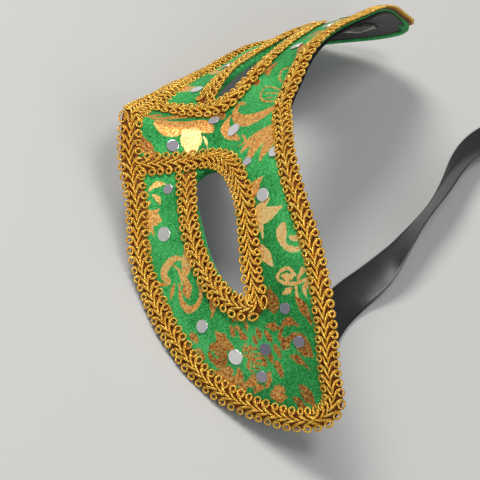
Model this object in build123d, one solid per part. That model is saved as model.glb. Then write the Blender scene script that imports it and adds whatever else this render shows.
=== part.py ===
"""Venetian half mask: a moulded shell covered in velvet and edged with gimp braid, with mirror sequins and ties.

The mask is modelled face on first: X is the wearer's left, Y is up the face and Z is forward.
It is then leaned back by REST_TILT about X, so that it lies on the rims of its cheeks as on a table.
All sizes are millimetres.
"""
from build123d import *
import math
import os

# Layers, from the face outwards
SHELL_THICKNESS = 1.2
GLUE_GAP = 0.05
VELVET_THICKNESS = 0.7
BRAID_THICKNESS = 1.6
SEQUIN_THICKNESS = 0.3

# The shell's outer face: how far forward it is, at a distance to the side and at a height on the face
BROW_DEPTH = ((0, 0), (25, -0.5), (50, -14), (68, -28), (80, -44), (92, -64))
CHEEK_LEAN = ((0, 0), (45, -3), (92, -15))
LEAN_HEIGHT = 50
FACE_BOW = 5
NOSE_TOP = -20
NOSE_BOTTOM = -52
NOSE_RISE = 26
NOSE_POWER = 1.9
NOSE_SPREAD = 6
NOSE_FLARE = 12.5
NOSE_ROUND = 2

# The left half of the mask's outline, from the middle of the brow round to under the nose, as (side, height)
RIM = ((0, 2.6), (8, 4.6), (16, 6.8), (33, 10.4), (48, 12.8), (60, 13), (70, 10.3), (79.5, 5.2), (84, 2.6),
       (87, -2), (88.3, -8.5), (87.9, -16), (85.6, -25), (80.4, -37), (74, -44.3), (67.5, -48.5),
       (60.5, -52.7), (53, -55.8), (45.5, -58), (39, -58.4), (32, -57.2), (25, -56.2), (16, -56),
       (7, -54.3), (0, -52.6))

# The left eye hole, from its outer corner over the top and back along the cheek
EYE_HOLE = ((59.8, -17.4), (49.7, -16.5), (39.3, -15.8), (33, -15.5), (26, -17.2), (20.5, -20.6),
            (17.8, -25.6), (18.4, -29.3), (21, -31.2), (28.5, -31.5), (39.8, -30.2), (48, -27.9),
            (55.2, -23.1), (59.8, -17.4))

# The middle of the braid round the left eye: up the nose and over the eye, then back from the outer corner
EYE_BRAID_OVER = ((13.2, -54), (12.9, -51.3), (12, -45), (11.5, -37.6), (11.4, -31.4), (12.7, -26.3),
                  (15.4, -21.7), (21.2, -16.3), (26.4, -13.5), (33.2, -11.6), (39.1, -11.5),
                  (44.7, -11.9), (55.8, -12.9), (62.2, -13.6))
EYE_BRAID_BACK = ((62.2, -13.6), (61.6, -19.6), (55.6, -26.8), (50.6, -30), (45.9, -32), (40.5, -33.5),
                  (34.2, -34.7), (27.7, -35.5), (20.7, -36.5))

# Braid: two lengths meet at the temples to edge the rim, and one goes round each eye from the lower rim
BRAID_WIDTH = 8
BRAID_GAP = 0.2
BRAID_SIDE_GAP = 0.3
TIP_JOINT = -8.5

# Sequins, by the part of the mask that they are on, as (side, height, diameter)
SEQUINS = {
    "nose_sequins": ((5.6, -41, 4.5), (1.3, -20.9, 5), (-5.6, -30, 4)),
    "left_brow_sequins": ((19.5, -8.5, 3.5), (20.2, -0.6, 4.5), (32.9, -3.2, 4.5), (64.5, -4, 4)),
    "left_cheek_sequins": ((20.5, -42.6, 3.5), (34.1, -44.2, 5), (63.8, -35, 4.5)),
    "left_temple_sequins": ((72.6, -26.1, 5), (72.3, -15, 4), (72, -3, 4), (77.5, -19.6, 4)),
    "right_brow_sequins": ((-31.3, -3.2, 4.5), (-51.9, -2.4, 4.5), (-66, -5, 4)),
    "right_cheek_sequins": ((-26.2, -43, 4.5), (-48, -43, 4.5), (-66, -33, 4)),
    "right_temple_sequins": ((-72.6, -24, 5), (-73.5, -9, 4)),
}
SEQUIN_CLEARANCE = 0.1

# Hot glue that holds a tie inside each temple: its middle as (side, height), and its two radii, face on
GLUE_MIDDLE = (76, -9)
GLUE_RADII = (5, 6.5)
GLUE_THICKNESS = 1

# How the mask lies: leaned back until both cheeks rest on the table along their rims
REST_TILT = 53.5

# The left tie: flat satin ribbon that drops from its glue to the table and runs on along it, in the resting
# mask's frame. Its first points go down in one upright plane, and the rest lie flat.
TIE_WIDTH = 13
TIE_THICKNESS = 0.4
TIE_DROP = ((74.4, 30.6, 19.8), (66.7, 32.9, 12.3), (58.1, 35.4, 5.2), (47.6, 38.6, 0.6))
TIE_REST = ((36.1, 42, 0.6), (26, 48.5, 0.6), (14, 55.5, 0.6), (0, 60.5, 0.6), (-14, 65, 0.6),
            (-28, 70.5, 0.6), (-42, 74.5, 0.6), (-56, 79.5, 0.6), (-68.5, 88, 0.6), (-79, 100, 0.6),
            (-86, 114.5, 0.6), (-88, 131, 0.6), (-85, 147.5, 0.6), (-78, 163, 0.6), (-67.5, 176.5, 0.6))

# How the face is laid out as a sheet, and how far the cuts reach in front of it and behind it
SKIN_SIDE = 92
SKIN_LOW = -62
SKIN_HIGH = 17
SKIN_COLUMNS = 61
SKIN_ROWS = 25
SKIN_FIT = 0.02
SLOPE_STEP = 0.05
CUT_FRONT = 60
CUT_BACK = 110
RIM_SAMPLES = 120
RIM_ARCS = 24
EYE_ARCS = 8
STRIP_SAMPLES = 40
MEASURE_STEP = 0.02


def through(stations, x):
    """The smooth curve through the stations, level at the first, at x."""
    last = len(stations) - 1
    rise = [(b[1] - a[1]) / (b[0] - a[0]) for a, b in zip(stations, stations[1:])]
    step = [b[0] - a[0] for a, b in zip(stations, stations[1:])]
    slope = [0.0]
    for i in range(1, last):
        slope.append((rise[i - 1] * step[i] + rise[i] * step[i - 1]) / (step[i - 1] + step[i]))
    slope.append(rise[-1])
    i = 0
    while i < last - 1 and x > stations[i + 1][0]:
        i += 1
    t = (x - stations[i][0]) / step[i]
    start, end = stations[i][1], stations[i + 1][1]
    curve = start * (1 + 2 * t) * (1 - t) ** 2 + end * t * t * (3 - 2 * t)
    return curve + step[i] * (slope[i] * t * (1 - t) ** 2 + slope[i + 1] * t * t * (t - 1))


def depth(side, height):
    """How far forward the shell's outer face is."""
    out = abs(side)
    down = max(0.0, (NOSE_TOP - height) / (NOSE_TOP - NOSE_BOTTOM))
    off_ridge = math.hypot(out, NOSE_ROUND) - NOSE_ROUND
    nose = NOSE_RISE * down**NOSE_POWER * math.exp(-off_ridge / (NOSE_SPREAD + NOSE_FLARE * down))
    level = height / LEAN_HEIGHT
    return through(BROW_DEPTH, out) + through(CHEEK_LEAN, out) * level - FACE_BOW * level**2 + nose


def normal(side, height):
    """The outward direction of the shell's face."""
    across = (depth(side + SLOPE_STEP, height) - depth(side - SLOPE_STEP, height)) / (2 * SLOPE_STEP)
    up = (depth(side, height + SLOPE_STEP) - depth(side, height - SLOPE_STEP)) / (2 * SLOPE_STEP)
    return Vector(-across, -up, 1).normalized()


def on_face(side, height, lift=0.0):
    """The point that is lift outside the shell's face."""
    return Vector(side, height, depth(side, height)) + normal(side, height) * lift


def skin(lift):
    """A sheet that follows the face, lift outside it."""
    columns = [SKIN_SIDE * (2 * i / (SKIN_COLUMNS - 1) - 1) for i in range(SKIN_COLUMNS)]
    rows = [SKIN_LOW + (SKIN_HIGH - SKIN_LOW) * j / (SKIN_ROWS - 1) for j in range(SKIN_ROWS)]
    points = [[on_face(x, y, lift) for x in columns] for y in rows]
    return Face.make_surface_from_array_of_points(points, tol=SKIN_FIT, min_deg=3, max_deg=5)


def layer(lift, thickness):
    """A slab that follows the face, from lift outside it to lift + thickness."""
    inner, outer = skin(lift), skin(lift + thickness)
    walls = []
    for edge in outer.edges():
        below = min(inner.edges(), key=lambda other: (other @ 0.5 - edge @ 0.5).length)
        walls.append(Face.make_surface_from_curves(edge, below))
    return Solid(Shell([inner, outer, *walls]))


def mirrored(points):
    """The points on the mask's other half, in the same order."""
    return [(-x, y) for x, y in points]


def lifted(points, lift):
    """Where points of the face are, face on, once they are lifted off it by lift."""
    return [(on_face(x, y, lift).X, on_face(x, y, lift).Y) for x, y in points]


def cut_out(face):
    """A face on the mask's plane, made into a solid that reaches right through the mask."""
    return extrude(Pos(0, 0, -CUT_BACK) * face, CUT_BACK + CUT_FRONT, dir=(0, 0, 1))


def spread(curve, count):
    """Points spread along a curve, with both of its ends."""
    return [((curve @ (i / count)).X, (curve @ (i / count)).Y) for i in range(count + 1)]


def aside(points, distance, closed=False):
    """Points moved along the face, to the left of their way, with any that come too near it left out."""
    count = len(points)
    way = [on_face(*p) for p in points]
    moved = []
    for i, (x, y) in enumerate(points):
        before = way[i - 1] if closed or i else way[0]
        after = way[(i + 1) % count] if closed or i < count - 1 else way[-1]
        across = normal(x, y).cross(after - before).normalized() * distance
        spot = (x + across.X, y + across.Y)
        nearest = min((on_face(*spot) - p).length for p in way)
        if nearest > 0.96 * abs(distance):
            moved.append(spot)
    return moved


def outline_face(curve, arcs):
    """The face inside a closed curve, with its edge in several arcs."""
    return make_face([curve.trim(i / arcs, (i + 1) / arcs) for i in range(arcs)])


def rim_points():
    """The mask's outline, clockwise from the middle of the brow."""
    return [*RIM, *reversed(mirrored(RIM[1:-1]))]


def rim_face(lift, setback=0.0):
    """The inside of the mask's outline on a layer at lift, set back from the rim along the face."""
    if not setback:
        return outline_face(Spline(*lifted(rim_points(), lift), periodic=True), RIM_ARCS)
    whole = Spline(*rim_points(), periodic=True)
    inner = aside(spread(whole, RIM_SAMPLES)[:-1], -setback, closed=True)
    return outline_face(Spline(*lifted(inner, lift), periodic=True), RIM_ARCS)


def eye_face(side, lift):
    """One eye hole on a layer at lift."""
    points = EYE_HOLE if side > 0 else mirrored(EYE_HOLE)
    return outline_face(Spline(*lifted(points, lift)), EYE_ARCS)


def covering(lift, thickness):
    """A layer of the mask with its outline and both eye holes cut."""
    middle = lift + thickness / 2
    sheet = layer(lift, thickness) & cut_out(rim_face(middle))
    return sheet - cut_out(eye_face(1, middle)) - cut_out(eye_face(-1, middle))


def eye_strip_face(side, lift):
    """The strip of braid round one eye, flat, on a layer at lift."""
    over, back = Spline(*EYE_BRAID_OVER), Spline(*EYE_BRAID_BACK)
    way = spread(over, STRIP_SAMPLES) + spread(back, STRIP_SAMPLES)[1:]
    outer, inner = aside(way, BRAID_WIDTH / 2), aside(way, -BRAID_WIDTH / 2)
    if side < 0:
        outer, inner = mirrored(outer), mirrored(inner)
    edges = [Polyline(*lifted(outer, lift)), Polyline(*lifted(inner, lift))]
    ends = [Line(edges[0] @ 0, edges[1] @ 0), Line(edges[0] @ 1, edges[1] @ 1)]
    return make_face([*edges, *ends])


def sequin(side, height, diameter):
    """A flat disc that lies on the velvet."""
    top = GLUE_GAP + VELVET_THICKNESS
    out = normal(side, height)
    centre = on_face(side, height, top)
    flat = Plane(origin=centre, z_dir=out)
    bump = 0.0
    for i in range(12):
        turn = math.radians(30 * i)
        edge = flat.from_local_coords((diameter / 2 * math.cos(turn), diameter / 2 * math.sin(turn), 0))
        under = on_face(edge.X, edge.Y, 0)
        bump = max(bump, (under - edge).dot(normal(edge.X, edge.Y)) + top)
    seat = Plane(origin=centre + out * (bump + SEQUIN_CLEARANCE), z_dir=out)
    return extrude(seat * Circle(diameter / 2), SEQUIN_THICKNESS)


def glue_pad(sign):
    """The pad of glue inside one temple."""
    side, height = GLUE_MIDDLE
    lift = -SHELL_THICKNESS - GLUE_GAP - GLUE_THICKNESS
    spot = Pos(sign * side, height, 0) * Ellipse(*GLUE_RADII)
    return layer(lift, GLUE_THICKNESS) & cut_out(spot)


def rounded(points):
    """Straight runs through the points, joined by arcs as large as the runs allow."""
    radii = []
    for before, corner, after in zip(points, points[1:], points[2:]):
        run_in, run_out = corner - before, after - corner
        turn = math.radians(run_in.get_angle(run_out))
        radii.append(0.45 * min(run_in.length, run_out.length) / math.tan(turn / 2))
    path = FilletPolyline(*points, radius=radii)
    print("radii", [round(r, 1) for r in radii], "length", round(path.length, 1))
    return path


def tie():
    """The left tie, flat side up all along."""
    drop, rest = [Vector(*p) for p in TIE_DROP], [Vector(*p) for p in TIE_REST]
    touchdown = (drop[-1] + rest[0]) * 0.5
    ribbon = []
    for path in (rounded([*drop, touchdown]), rounded([touchdown, *rest])):
        along = path % 0
        start = Plane(origin=path @ 0, x_dir=Vector(0, 0, 1).cross(along), z_dir=along)
        ribbon.append(sweep(start * Rectangle(TIE_WIDTH, TIE_THICKNESS), path))
    return ribbon[0] + ribbon[1]


def worn_parts():
    """Every piece of the mask itself, face on."""
    parts = {}
    parts["shell"] = covering(-SHELL_THICKNESS, SHELL_THICKNESS)
    parts["velvet_cover"] = covering(GLUE_GAP, VELVET_THICKNESS)

    lift = GLUE_GAP + VELVET_THICKNESS + BRAID_GAP
    middle = lift + BRAID_THICKNESS / 2
    braid_layer = layer(lift, BRAID_THICKNESS)
    edging = braid_layer & cut_out(rim_face(middle) - rim_face(middle, BRAID_WIDTH))
    upper = Box(400, 200, 400, align=(Align.CENTER, Align.MIN, Align.CENTER))
    parts["forehead_braid"] = edging & (Pos(0, TIP_JOINT + BRAID_GAP / 2, 0) * upper)
    parts["lower_braid"] = edging - (Pos(0, TIP_JOINT - BRAID_GAP / 2, 0) * upper)

    inside = cut_out(rim_face(middle, BRAID_WIDTH + BRAID_SIDE_GAP))
    for sign, name in ((1, "left"), (-1, "right")):
        strip = braid_layer & cut_out(eye_strip_face(sign, middle))
        parts[name + "_eye_braid"] = strip & inside
        parts[name + "_glue"] = glue_pad(sign)

    for name, spots in SEQUINS.items():
        parts[name] = Compound([sequin(*spot) for spot in spots])
    return parts


def extent(shapes):
    """The lowest and highest corners of all the shapes together, measured on their fine meshes."""
    spots = [spot for shape in shapes for spot in shape.tessellate(MEASURE_STEP)[0]]
    low = Vector(min(p.X for p in spots), min(p.Y for p in spots), min(p.Z for p in spots))
    high = Vector(max(p.X for p in spots), max(p.Y for p in spots), max(p.Z for p in spots))
    return low, high


def main():
    leaned = {name: Rot(REST_TILT, 0, 0) * shape for name, shape in worn_parts().items()}
    low, high = extent(leaned.values())
    print("rest", low, high)
    stand = Pos(0, -(low.Y + high.Y) / 2, -low.Z)
    parts = {name: stand * shape for name, shape in leaned.items()}
    parts["left_tie"] = tie()

    os.makedirs("parts", exist_ok=True)
    for name, shape in parts.items():
        print(name, [round(solid.volume, 1) for solid in shape.solids()], shape.is_valid)
        export_step(shape, f"parts/{name}.step")


main()
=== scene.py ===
"""Venetian half mask in foil-printed green velvet, edged with gold gimp braid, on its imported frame.

The mask is laid out face on, in millimetres: side is towards the wearer's left, height is up the face and
forward is out of it. stand() then leans it back and sets it down as the frame has it, in metres.
"""
import math

import bmesh
import bpy
import numpy as np
from mathutils import Matrix, Vector
from mathutils.geometry import delaunay_2d_cdt


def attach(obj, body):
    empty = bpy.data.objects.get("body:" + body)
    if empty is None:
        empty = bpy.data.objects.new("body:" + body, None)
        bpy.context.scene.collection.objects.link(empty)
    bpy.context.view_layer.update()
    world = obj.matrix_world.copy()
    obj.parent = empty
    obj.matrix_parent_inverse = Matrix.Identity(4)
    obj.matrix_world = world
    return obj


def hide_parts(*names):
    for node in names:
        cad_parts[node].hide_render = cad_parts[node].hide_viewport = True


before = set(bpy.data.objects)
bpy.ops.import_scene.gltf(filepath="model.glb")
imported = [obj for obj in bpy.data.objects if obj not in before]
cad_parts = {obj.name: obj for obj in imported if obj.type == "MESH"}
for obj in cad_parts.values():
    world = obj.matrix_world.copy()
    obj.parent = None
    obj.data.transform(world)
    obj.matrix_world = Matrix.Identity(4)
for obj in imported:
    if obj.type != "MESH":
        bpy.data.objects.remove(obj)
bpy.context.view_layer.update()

MM = 0.001
SEED = 7

# How the frame stands the mask: leaned back about X, then moved up and along the table
LEAN = math.radians(53.5)
STAND = np.array([0.0, 2.563, 54.467])

# The shell's outer face: how far forward it is, at a distance to the side and at a height on the face
BROW_DEPTH = ((0, 0), (25, -0.5), (50, -14), (68, -28), (80, -44), (92, -64))
CHEEK_LEAN = ((0, 0), (45, -3), (92, -15))
LEAN_HEIGHT = 50
FACE_BOW = 5
NOSE_TOP = -20
NOSE_BOTTOM = -52
NOSE_RISE = 26
NOSE_POWER = 1.9
NOSE_SPREAD = 6
NOSE_FLARE = 12.5
NOSE_ROUND = 2
SHELL_THICKNESS = 1.2
VELVET_LIFT = 0.75
# The velvet's edge is drawn in from the rim, where the braid hides it, and the eye holes are a little wider
RIM_SETBACK = 1.2
HOLE_GROWTH = 0.35

# The left half of the outline, from the middle of the brow round to under the nose, as (side, height)
RIM = ((0, 2.6), (8, 4.6), (16, 6.8), (33, 10.4), (48, 12.8), (60, 13), (70, 10.3), (79.5, 5.2), (84, 2.6),
       (87, -2), (88.3, -8.5), (87.9, -16), (85.6, -25), (80.4, -37), (74, -44.3), (67.5, -48.5),
       (60.5, -52.7), (53, -55.8), (45.5, -58), (39, -58.4), (32, -57.2), (25, -56.2), (16, -56), (7, -54.3),
       (0, -52.6))

# The left eye hole, from its outer corner over the top and back along the cheek
EYE_HOLE = ((59.8, -17.4), (49.7, -16.5), (39.3, -15.8), (33, -15.5), (26, -17.2), (20.3, -20.6), (17, -26),
            (17, -30), (19.2, -32.6), (28, -32.4), (39.8, -30.2), (48, -27.9), (55.2, -23.1))

# The middle of the braid round the left eye: up the nose and over the eye, then back from the outer corner
EYE_BRAID = ((13, -50.6), (12, -45), (11.5, -37.6), (11.4, -31.4), (12.7, -26.3), (15.4, -21.7),
             (21.2, -16.3), (26.4, -13.5), (33.2, -11.6), (39.1, -11.5), (44.7, -11.9), (55.8, -12.9),
             (62.2, -13.6), (61.6, -19.6), (55.6, -26.8), (50.6, -30), (45.9, -32), (40.5, -33.5),
             (34.2, -34.5), (27.7, -34.8), (15.8, -36.1))
BRAID_WIDTH = 8
# The forehead and lower braids meet at the temple tips, and stand out past the rim by their overhang
TIP = (88.3, -8.5)
FOREHEAD_OVERHANG = 0.6
LOWER_OVERHANG = 0.4

# Mirror sequins as (side, height, diameter, brightness), where the brightness is a painted reflection in the
# disc's colour
SEQUINS = {
    "nose_sequins": ((5.6, -41, 4.2, 0.3), (1.3, -20.9, 5, 0.6), (-5.6, -30, 4, 0.5)),
    "left_brow_sequins": ((20.2, -10.6, 3.5, 0.4), (20, 0.4, 4.5, 0.8), (33.2, -4.5, 4.5, 1),
                          (64.5, -4, 3.6, 0.2)),
    "left_cheek_sequins": ((20.5, -42.6, 3.5, 0.4), (34.3, -45.2, 4.8, 0.9), (63.8, -35, 4.3, 0.7)),
    "left_temple_sequins": ((72.6, -26.1, 5, 0.9), (72.3, -15, 4, 0.1), (72, -3, 3.8, 0.2),
                            (77.5, -19.6, 3.8, 0.3)),
    "right_brow_sequins": ((-31.3, -3.2, 4.5, 0.6), (-51.9, -2.4, 4.5, 0.9), (-66, -5, 4, 0.5)),
    "right_cheek_sequins": ((-26.2, -43, 4.5, 0.7), (-48, -43, 4.5, 0.4), (-66, -33, 4, 0.8)),
    "right_temple_sequins": ((-72.6, -24, 5, 0.6), (-73.5, -9, 4, 0.3)),
}
SEQUIN_THICKNESS = 0.3
SEQUIN_SIDES = 32

# The left tie's route: from its glue down to the table and along it, in the resting mask's frame
TIE_ROUTE = ((74.4, 30.6, 19.8), (66.7, 32.9, 12.3), (58.1, 35.4, 5.2), (45.5, 38.6, 1.2), (33, 41.8, 0.7),
             (22, 47.5, 1), (11, 55, 3), (-2, 61, 5), (-15, 65.5, 6), (-28, 70.5, 6), (-42, 74.5, 4.5),
             (-56, 79.5, 1.6), (-68.5, 88, 0.6), (-79, 100, 0.6), (-86, 114.5, 0.6), (-88, 131, 0.6),
             (-85, 147.5, 0.6), (-78, 163, 0.6), (-67.5, 176.5, 0.6))
TIE_WIDTH = 13
TIE_THICKNESS = 0.32
# How far its edges curl up and down, and how low its middle surface may lie
TIE_CURL = 0.6
TIE_LOWEST = 0.5
TIE_LENGTH = 0.26
# How far the ribbon turns about its line: fraction of its length, and the angle from flat in degrees
TIE_TURN = ((0, 0), (0.16, 4), (0.26, 14), (0.36, 62), (0.44, 72), (0.52, 64), (0.58, 38), (0.64, 8), (1, 0))

# The pools of glue inside the temples: the left one's middle, half its size each way, and its thickness
GLUE_MIDDLE = (76, -9)
GLUE_REACH = (4.2, 6)
GLUE_THICKNESS = 1.05
GLUE_RINGS = 9
GLUE_SIDES = 40

# Foil print. Each group is a tone, from 0 for pale gold to 1 for red copper, and its brush strokes.
# A stroke is a smooth line through points of (side, height, half width).
FOIL = {
    "nose flower": (0.5, (
        ((-1.5, -43.5, 2.2), (0, -42, 3), (0, -40, 2.2)),
        ((-2, -40.5, 2.6), (-2.5, -38, 2.8), (-4, -35, 2.6)),
        ((-4.5, -34, 2), (-2, -32, 2.6), (-1, -30.5, 1.7)))),
    "nose petal": (0.05, (
        ((0, -35.5, 2.6), (3.5, -35.5, 3.3), (7.5, -35.5, 1.5)),
        ((1.5, -32, 0.3), (3.5, -31, 0.5), (7, -30, 0.2)))),
    "nose far side": (0.6, (
        ((-3, -46.5, 0.9), (-8, -41.5, 1.3), (-9, -36, 1.1), (-8, -31, 0.9)),
        ((-2.5, -48.5, 0.7), (-7, -47, 0.7)))),
    "by the lower braid": (0.85, (
        ((5, -50, 1.6), (7, -48.5, 2.2), (9, -46.5, 1)),
        ((-10.5, -30, 1), (-8.5, -28, 1.7), (-6.5, -27, 1)))),
    "tulip": (0.5, (
        ((-6.5, -24, 0.2), (-1.5, -25, 1.7), (3, -22, 2), (7.5, -17, 0.6)),
        ((-8.5, -17.5, 0.3), (-10, -20.5, 0.9), (-8, -22, 1.2), (-3.5, -20, 2), (-0.5, -14.5, 2.7),
         (-0.5, -9, 2), (-2, -4, 1)), ((11, -16.5, 0.2), (10, -14, 0.6), (6, -16, 0.4)))),
    "brow acanthus": (0.5, (
        ((8, -1, 2.6), (11.5, -6.5, 3.4), (22.5, -11, 0.2)),
        ((8, -3, 1.8), (10.5, -10.5, 2.6), (15, -14.5, 0.2)),
        ((11, -1, 1.8), (17, -3.5, 2.2), (21.5, -5.5, 0.3)))),
    "far brow lines": (0.6, (
        ((-9, -3.5, 0.3), (-12, -11, 0.35), (-9.5, -11.5, 0.4), (-6, -8.5, 0.4), (-4.5, -3, 0.3)),
        ((-7.5, -3.5, 0.25), (-10, -9.5, 0.25)), ((-6, -3.5, 0.25), (-7.5, -8.5, 0.25)),
        ((-17, 0, 0.3), (-18, -4, 0.4), (-15, -4.5, 0.4), (-12, -2, 0.35), (-13.5, -0.5, 0.3),
         (-15.5, -2, 0.2)))),
    "far brow leaves": (0.7, (
        ((-23, -8.5, 1), (-21, -10.5, 1.7), (-18, -9.5, 0.2)), ((-19.5, -16.5, 0.9), (-16.5, -14, 1.3)),
        ((-24.5, 0, 0.3), (-29, -0.5, 1.3), (-34, -3, 0.4)),
        ((-38, -4, 0.4), (-43, -2, 1.8), (-47, -4, 0.4)))),
    "brow leaf": (0.45, (
        ((27.5, -4, 0.2), (30, -7.5, 2), (34, -9.5, 0.9)),)),
    "brow star": (0.12, (
        ((39, -9, 2.2), (39, -4.5, 2.3), (38, 2, 0.2)), ((38, -8, 1.9), (36, -5, 1.3), (34.5, -2, 0.2)),
        ((39.5, -7.5, 1.9), (43, -7, 0.7), (45.5, -7, 0.2)))),
    "brow slip": (0.2, (
        ((46, -9, 0.4), (50, -7, 1.9), (53.5, -5, 0.2)),)),
    "comma": (0.1, (
        ((43.5, 1, 1.2), (45, 0, 2), (48, 0, 1), (50, 2.5, 0.9), (50, 6, 0.6), (48.5, 7.5, 0.3)),
        ((47, 3, 0.7), (47.5, 5, 0.8), (47, 7, 0.4)), ((52, 6, 0.2), (54, 6.5, 0.6)))),
    "cheek slips": (0.35, (
        ((20.5, -49, 0.3), (18.5, -46, 1.1), (18.5, -43.5, 0.2)),
        ((22, -48, 0.3), (23, -46.5, 1), (25, -45.5, 0.2)), ((25, -50, 0.7), (23.5, -48.5, 0.2)))),
}
# The groups that the other cheek and temple repeat
FOIL_BOTH_SIDES = {
    "bud": (0.25, (
        ((57, 2, 0.4), (55, 0.5, 0.5), (55, -2.5, 0.5), (56.5, -4.5, 0.5), (58, -3, 0.5), (59, 1.5, 0.5),
         (58.5, 6, 0.4)), ((56.5, -2.5, 0.5), (57, -1, 1.2), (57, 1, 0.5)), ((58, 2.5, 0.4), (56, 5, 0.8)),
        ((59, 1.5, 0.4), (62.5, 1, 0.6)), ((59.5, 6, 0.5), (61, 4, 0.7), (63, 4, 0.3)),
        ((61, -3.5, 0.3), (60.5, -1.5, 0.9), (60, 0, 0.2)))),
    "bud leaf": (0.8, (
        ((62.5, 0.5, 0.5), (65, 2, 1.6), (69, 3, 0.3)),)),
    "corner leaf": (0.9, (
        ((58.5, -8, 0.3), (62.5, -8, 2.5), (65, -8, 0.3)),)),
    "cheek star": (0.4, (
        ((28, -51, 2.2), (29, -48.5, 2.2), (30, -45.5, 0.2)), ((29.5, -50.5, 1.7), (34, -49, 0.2)),
        ((28, -49.5, 1.3), (26.5, -46, 0.2)), ((35.5, -52.5, 1.3), (37.5, -50.5, 0.2)))),
    "cheek scroll": (0.3, (
        ((43.5, -39, 0.4), (42, -42, 0.9), (43, -45, 1.3), (45.5, -47.5, 1.4), (48, -46, 0.9)),
        ((39.5, -37.5, 0.3), (44, -37.5, 2.4), (48.5, -40, 0.9)),
        ((44, -43, 0.3), (46.5, -41, 0.7), (50, -41, 0.4)))),
    "cheek cup": (0.5, (
        ((49.5, -42, 0.3), (54, -42, 0.8), (58, -39.5, 1.2), (58, -36.5, 1), (55.5, -34, 0.8),
         (50.5, -35, 0.3)), ((49.5, -39, 0.9), (52, -39, 2), (54.5, -39, 0.7)),
        ((47.5, -51.5, 1.1), (49, -46.5, 0.2)), ((49, -43.5, 0.2), (51, -45, 0.9), (53.5, -46, 0.2)))),
    "cheek slip": (0.65, (
        ((55, -31, 0.2), (59, -29.5, 1.6), (62.5, -31, 0.2)),
        ((54.5, -51, 0.9), (56, -48, 1.7), (59, -49, 1.7)))),
    "sprig": (0.8, (
        ((67.5, -12.5, 0.2), (68, -10, 1), (68.5, -8, 0.4)), ((66, -8.5, 0.2), (68.5, -9, 0.3)),
        ((68.5, -7.5, 0.3), (67.5, -4, 1.1), (69, -1, 0.2)), ((68.5, -7, 0.4), (70.5, -9, 0.7)))),
    "temple leaves": (0.8, (
        ((70.5, -5, 0.5), (72.5, -2.5, 2.5), (75.5, -0.5, 0.2)),
        ((74.5, -8, 0.2), (75.5, -5.5, 1.1), (77.5, -3, 0.2)),
        ((71, -5.5, 0.4), (72, -8, 1.3), (73, -9.5, 0.4)))),
    "temple flower": (0.75, (
        ((68, -15.5, 0.7), (69, -15.5, 1.1)), ((69, -13, 0.7), (70, -12.5, 1.1)),
        ((69.5, -17.5, 0.7), (70, -17.5, 0.9)), ((74, -14.5, 1.2), (75, -14.5, 0.4)),
        ((74, -17, 0.7), (75, -17, 0.9)), ((72.5, -11.5, 1), (74, -11, 0.7)),
        ((76, -13, 1.2), (77.5, -13, 0.9)))),
    "fan": (0.65, (
        ((72.6, -23.2, 0.3), (71.2, -22.4, 0.35), (70.4, -21, 0.3)),
        ((72.8, -22.8, 0.3), (71.6, -21.4, 0.35), (71, -19.4, 0.3)),
        ((73, -22.6, 0.3), (72, -20.6, 0.35), (71.8, -17.8, 0.35)),
        ((73.4, -22.4, 0.3), (72.9, -20, 0.35), (73, -17.2, 0.3)),
        ((73.8, -22.4, 0.3), (73.8, -19.6, 0.35), (74.2, -16.8, 0.35)),
        ((74.2, -22.6, 0.3), (74.6, -20.2, 0.35), (75.2, -18, 0.3)),
        ((74.5, -23, 0.3), (75.3, -21.4, 0.35), (76, -19.4, 0.35)),
        ((74.6, -23.6, 0.3), (75.8, -22.6, 0.35), (76.9, -21.4, 0.3)))),
    "low leaf": (0.65, (
        ((66, -30.5, 0.3), (68.5, -29, 2), (70.5, -26.5, 0.9)),
        ((68.5, -39, 0.2), (70, -38, 0.9), (72, -37, 0.2)), ((65.5, -39.5, 1.1), (66.5, -38.5, 1.1)))),
    "low rose": (0.75, (
        ((69.5, -34, 0.7), (69.5, -31.5, 1.2), (71, -30, 1.2), (73, -31.5, 1.2), (72.5, -34, 1),
         (71, -35, 0.9)), ((71, -32.5, 0.7), (71.5, -31.5, 0.7)))),
    "corner ring": (0.7, (
        ((64.5, -23.5, 0.4), (64.5, -20.5, 0.7), (65.5, -19, 0.4)), ((66, -24.5, 0.7), (67.5, -24.5, 0.9)),
        ((66.5, -22.5, 0.7), (67, -21.5, 0.5)), ((68.5, -21.5, 1.1), (69, -20.5, 0.7)),
        ((66.5, -19, 0.7), (68, -19.5, 0.3)))),
    "low leaves": (0.6, (
        ((75, -34.5, 0.7), (75.5, -32, 1.5), (75, -29.5, 0.9)),
        ((76.5, -33, 0.3), (77.5, -31, 1), (76.5, -28.5, 0.5)),
        ((77.5, -29, 0.9), (76.5, -27, 1.2), (75, -26.5, 0.3)),
        ((79.5, -29.5, 0.4), (79, -27.5, 1.1), (78, -25.5, 0.3)),
        ((78.5, -24.5, 0.9), (77.5, -22.5, 0.9), (78, -20.5, 0.4)),
        ((80.5, -24.5, 0.3), (79.5, -22.5, 0.8), (79.5, -20.5, 0.3)),
        ((79.5, -19.5, 0.5), (78, -17.5, 1), (77, -16.5, 0.4)),
        ((81.5, -19, 0.6), (81.5, -17, 1.5), (82, -14.5, 0.4)), ((80, -16.5, 0.5), (80.5, -14.5, 0.8)))),
    "tip leaves": (0.85, (
        ((80.5, -8.5, 0.4), (82, -7.5, 1.9), (84, -6.5, 0.7)),
        ((82.5, -12, 0.4), (83.5, -11, 1.3), (84.5, -9.5, 0.4)))),
}
# A field's value well outside the foil print, and the tone there
NOT_PRINTED = -5.0
NO_TONE = 0.5

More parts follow.
